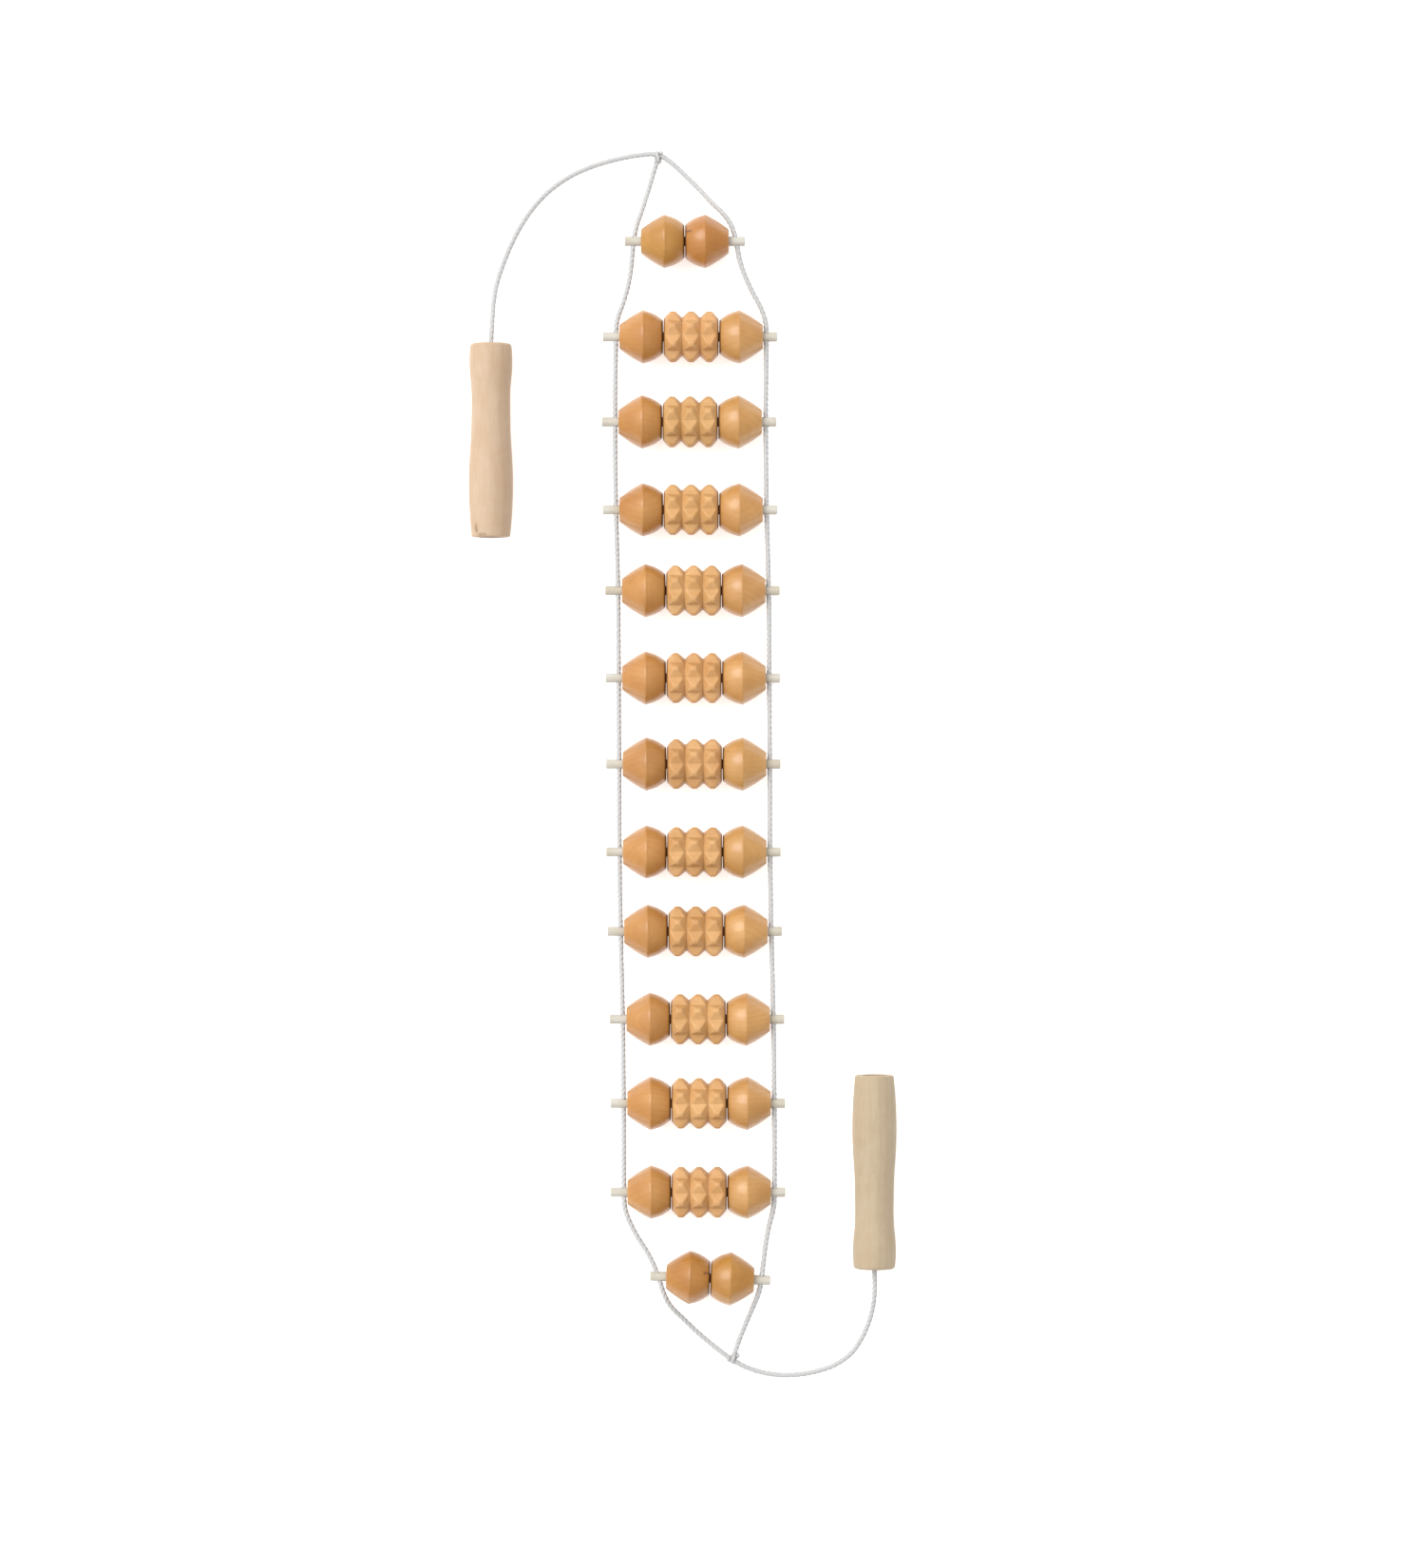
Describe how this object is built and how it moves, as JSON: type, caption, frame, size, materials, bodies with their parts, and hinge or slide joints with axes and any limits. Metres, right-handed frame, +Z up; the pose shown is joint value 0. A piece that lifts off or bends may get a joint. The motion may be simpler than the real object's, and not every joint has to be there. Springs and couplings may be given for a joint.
{
  "type": "rope-ladder massage roller",
  "caption": "Wooden rope-ladder massage roller: rows of double-cone beads and studded rollers spinning on dowel axles, threaded on two cords with a turned handle at each end.",
  "frame": {"origin": "on the floor, under the middle of the wooden parts as they lie flat", "axes": "+Z up from the floor; +Y along the ladder, towards the upper handle's end; +X across it, along the axles"},
  "size_m": [0.2704, 0.7774, 0.0336],
  "materials": {
    "bead_wood": "satin lacquer",
    "stud_wood": "satin lacquer",
    "handle_wood": "fine sanded, unvarnished",
    "pale_dowel": "smooth, unvarnished",
    "cord": "laid white nylon, soft"
  },
  "bodies": {
    "ladder": {"axle_1": "pale_dowel", "axle_2": "pale_dowel", "axle_3": "pale_dowel", "axle_4": "pale_dowel", "axle_5": "pale_dowel", "axle_6": "pale_dowel", "axle_7": "pale_dowel", "axle_8": "pale_dowel", "axle_9": "pale_dowel", "axle_10": "pale_dowel", "axle_11": "pale_dowel", "axle_12": "pale_dowel", "axle_13": "pale_dowel", "cord_a": "cord", "cord_b": "cord", "stop_knot_upper": "cord", "stop_knot_lower": "cord", "tie_knot_upper": "cord", "tie_knot_lower": "cord"},
    "handle_upper": {"handle_upper": "handle_wood"},
    "handle_lower": {"handle_lower": "handle_wood"},
    "bead_left_1": {"bead_left_1": "bead_wood"},
    "bead_right_1": {"bead_right_1": "bead_wood"},
    "bead_left_2": {"bead_left_2": "bead_wood"},
    "bead_right_2": {"bead_right_2": "bead_wood"},
    "studded_roller_2": {"studded_roller_2": "stud_wood"},
    "bead_left_13": {"bead_left_13": "bead_wood"},
    "bead_right_13": {"bead_right_13": "bead_wood"},
    "bead_left_12": {"bead_left_12": "bead_wood"},
    "bead_right_12": {"bead_right_12": "bead_wood"},
    "studded_roller_12": {"studded_roller_12": "stud_wood"},
    "bead_left_3": {"bead_left_3": "bead_wood"},
    "bead_right_3": {"bead_right_3": "bead_wood"},
    "studded_roller_3": {"studded_roller_3": "stud_wood"},
    "bead_left_4": {"bead_left_4": "bead_wood"},
    "bead_right_4": {"bead_right_4": "bead_wood"},
    "studded_roller_4": {"studded_roller_4": "stud_wood"},
    "bead_left_5": {"bead_left_5": "bead_wood"},
    "bead_right_5": {"bead_right_5": "bead_wood"},
    "studded_roller_5": {"studded_roller_5": "stud_wood"},
    "bead_left_6": {"bead_left_6": "bead_wood"},
    "bead_right_6": {"bead_right_6": "bead_wood"},
    "studded_roller_6": {"studded_roller_6": "stud_wood"},
    "bead_left_7": {"bead_left_7": "bead_wood"},
    "bead_right_7": {"bead_right_7": "bead_wood"},
    "studded_roller_7": {"studded_roller_7": "stud_wood"},
    "bead_left_8": {"bead_left_8": "bead_wood"},
    "bead_right_8": {"bead_right_8": "bead_wood"},
    "studded_roller_8": {"studded_roller_8": "stud_wood"},
    "bead_left_9": {"bead_left_9": "bead_wood"},
    "bead_right_9": {"bead_right_9": "bead_wood"},
    "studded_roller_9": {"studded_roller_9": "stud_wood"},
    "bead_left_10": {"bead_left_10": "bead_wood"},
    "bead_right_10": {"bead_right_10": "bead_wood"},
    "studded_roller_10": {"studded_roller_10": "stud_wood"},
    "bead_left_11": {"bead_left_11": "bead_wood"},
    "bead_right_11": {"bead_right_11": "bead_wood"},
    "studded_roller_11": {"studded_roller_11": "stud_wood"}
  },
  "joints": [
    {"name": "handle_upper_spin", "type": "hinge", "parent": "ladder", "child": "handle_upper", "pos_m": [-0.1212, 0.2019, 0.014], "axis": [0, 1, 0], "continuous": true},
    {"name": "handle_lower_spin", "type": "hinge", "parent": "ladder", "child": "handle_lower", "pos_m": [0.1212, -0.2604, 0.014], "axis": [0, 1, 0], "continuous": true},
    {"name": "bead_left_1_spin", "type": "hinge", "parent": "ladder", "child": "bead_left_1", "pos_m": [-0.0126, 0.3273, 0.0168], "axis": [1, 0, 0], "continuous": true},
    {"name": "bead_right_1_spin", "type": "hinge", "parent": "ladder", "child": "bead_right_1", "pos_m": [0.0154, 0.3273, 0.0168], "axis": [1, 0, 0], "continuous": true},
    {"name": "bead_left_2_spin", "type": "hinge", "parent": "ladder", "child": "bead_left_2", "pos_m": [-0.02615, 0.267, 0.0168], "axis": [1, 0, 0], "continuous": true},
    {"name": "bead_right_2_spin", "type": "hinge", "parent": "ladder", "child": "bead_right_2", "pos_m": [0.03695, 0.267, 0.0168], "axis": [1, 0, 0], "continuous": true},
    {"name": "studded_roller_2_spin", "type": "hinge", "parent": "ladder", "child": "studded_roller_2", "pos_m": [0.0054, 0.267, 0.0168], "axis": [1, 0, 0], "continuous": true},
    {"name": "bead_left_13_spin", "type": "hinge", "parent": "ladder", "child": "bead_left_13", "pos_m": [0.00341, -0.32681, 0.0168], "axis": [0.9994, -0.0349, 0], "continuous": true},
    {"name": "bead_right_13_spin", "type": "hinge", "parent": "ladder", "child": "bead_right_13", "pos_m": [0.03139, -0.32779, 0.0168], "axis": [0.9994, -0.0349, 0], "continuous": true},
    {"name": "bead_left_12_spin", "type": "hinge", "parent": "ladder", "child": "bead_left_12", "pos_m": [-0.02105, -0.273, 0.0168], "axis": [1, 0, 0], "continuous": true},
    {"name": "bead_right_12_spin", "type": "hinge", "parent": "ladder", "child": "bead_right_12", "pos_m": [0.04205, -0.273, 0.0168], "axis": [1, 0, 0], "continuous": true},
    {"name": "studded_roller_12_spin", "type": "hinge", "parent": "ladder", "child": "studded_roller_12", "pos_m": [0.0105, -0.273, 0.0168], "axis": [1, 0, 0], "continuous": true},
    {"name": "bead_left_3_spin", "type": "hinge", "parent": "ladder", "child": "bead_left_3", "pos_m": [-0.02675, 0.2133, 0.0168], "axis": [1, 0, 0], "continuous": true},
    {"name": "bead_right_3_spin", "type": "hinge", "parent": "ladder", "child": "bead_right_3", "pos_m": [0.03635, 0.2133, 0.0168], "axis": [1, 0, 0], "continuous": true},
    {"name": "studded_roller_3_spin", "type": "hinge", "parent": "ladder", "child": "studded_roller_3", "pos_m": [0.0048, 0.2133, 0.0168], "axis": [1, 0, 0], "continuous": true},
    {"name": "bead_left_4_spin", "type": "hinge", "parent": "ladder", "child": "bead_left_4", "pos_m": [-0.02615, 0.1578, 0.0168], "axis": [1, 0, 0], "continuous": true},
    {"name": "bead_right_4_spin", "type": "hinge", "parent": "ladder", "child": "bead_right_4", "pos_m": [0.03695, 0.1578, 0.0168], "axis": [1, 0, 0], "continuous": true},
    {"name": "studded_roller_4_spin", "type": "hinge", "parent": "ladder", "child": "studded_roller_4", "pos_m": [0.0054, 0.1578, 0.0168], "axis": [1, 0, 0], "continuous": true},
    {"name": "bead_left_5_spin", "type": "hinge", "parent": "ladder", "child": "bead_left_5", "pos_m": [-0.02455, 0.1068, 0.0168], "axis": [1, 0, 0], "continuous": true},
    {"name": "bead_right_5_spin", "type": "hinge", "parent": "ladder", "child": "bead_right_5", "pos_m": [0.03855, 0.1068, 0.0168], "axis": [1, 0, 0], "continuous": true},
    {"name": "studded_roller_5_spin", "type": "hinge", "parent": "ladder", "child": "studded_roller_5", "pos_m": [0.007, 0.1068, 0.0168], "axis": [1, 0, 0], "continuous": true},
    {"name": "bead_left_6_spin", "type": "hinge", "parent": "ladder", "child": "bead_left_6", "pos_m": [-0.02435, 0.0516, 0.0168], "axis": [1, 0, 0], "continuous": true},
    {"name": "bead_right_6_spin", "type": "hinge", "parent": "ladder", "child": "bead_right_6", "pos_m": [0.03875, 0.0516, 0.0168], "axis": [1, 0, 0], "continuous": true},
    {"name": "studded_roller_6_spin", "type": "hinge", "parent": "ladder", "child": "studded_roller_6", "pos_m": [0.0072, 0.0516, 0.0168], "axis": [1, 0, 0], "continuous": true},
    {"name": "bead_left_7_spin", "type": "hinge", "parent": "ladder", "child": "bead_left_7", "pos_m": [-0.02405, -0.0027, 0.0168], "axis": [1, 0, 0], "continuous": true},
    {"name": "bead_right_7_spin", "type": "hinge", "parent": "ladder", "child": "bead_right_7", "pos_m": [0.03905, -0.0027, 0.0168], "axis": [1, 0, 0], "continuous": true},
    {"name": "studded_roller_7_spin", "type": "hinge", "parent": "ladder", "child": "studded_roller_7", "pos_m": [0.0075, -0.0027, 0.0168], "axis": [1, 0, 0], "continuous": true},
    {"name": "bead_left_8_spin", "type": "hinge", "parent": "ladder", "child": "bead_left_8", "pos_m": [-0.02395, -0.0582, 0.0168], "axis": [1, 0, 0], "continuous": true},
    {"name": "bead_right_8_spin", "type": "hinge", "parent": "ladder", "child": "bead_right_8", "pos_m": [0.03915, -0.0582, 0.0168], "axis": [1, 0, 0], "continuous": true},
    {"name": "studded_roller_8_spin", "type": "hinge", "parent": "ladder", "child": "studded_roller_8", "pos_m": [0.0076, -0.0582, 0.0168], "axis": [1, 0, 0], "continuous": true},
    {"name": "bead_left_9_spin", "type": "hinge", "parent": "ladder", "child": "bead_left_9", "pos_m": [-0.02315, -0.1083, 0.0168], "axis": [1, 0, 0], "continuous": true},
    {"name": "bead_right_9_spin", "type": "hinge", "parent": "ladder", "child": "bead_right_9", "pos_m": [0.03995, -0.1083, 0.0168], "axis": [1, 0, 0], "continuous": true},
    {"name": "studded_roller_9_spin", "type": "hinge", "parent": "ladder", "child": "studded_roller_9", "pos_m": [0.0084, -0.1083, 0.0168], "axis": [1, 0, 0], "continuous": true},
    {"name": "bead_left_10_spin", "type": "hinge", "parent": "ladder", "child": "bead_left_10", "pos_m": [-0.02165, -0.1638, 0.0168], "axis": [1, 0, 0], "continuous": true},
    {"name": "bead_right_10_spin", "type": "hinge", "parent": "ladder", "child": "bead_right_10", "pos_m": [0.04145, -0.1638, 0.0168], "axis": [1, 0, 0], "continuous": true},
    {"name": "studded_roller_10_spin", "type": "hinge", "parent": "ladder", "child": "studded_roller_10", "pos_m": [0.0099, -0.1638, 0.0168], "axis": [1, 0, 0], "continuous": true},
    {"name": "bead_left_11_spin", "type": "hinge", "parent": "ladder", "child": "bead_left_11", "pos_m": [-0.02115, -0.2169, 0.0168], "axis": [1, 0, 0], "continuous": true},
    {"name": "bead_right_11_spin", "type": "hinge", "parent": "ladder", "child": "bead_right_11", "pos_m": [0.04195, -0.2169, 0.0168], "axis": [1, 0, 0], "continuous": true},
    {"name": "studded_roller_11_spin", "type": "hinge", "parent": "ladder", "child": "studded_roller_11", "pos_m": [0.0104, -0.2169, 0.0168], "axis": [1, 0, 0], "continuous": true}
  ]
}
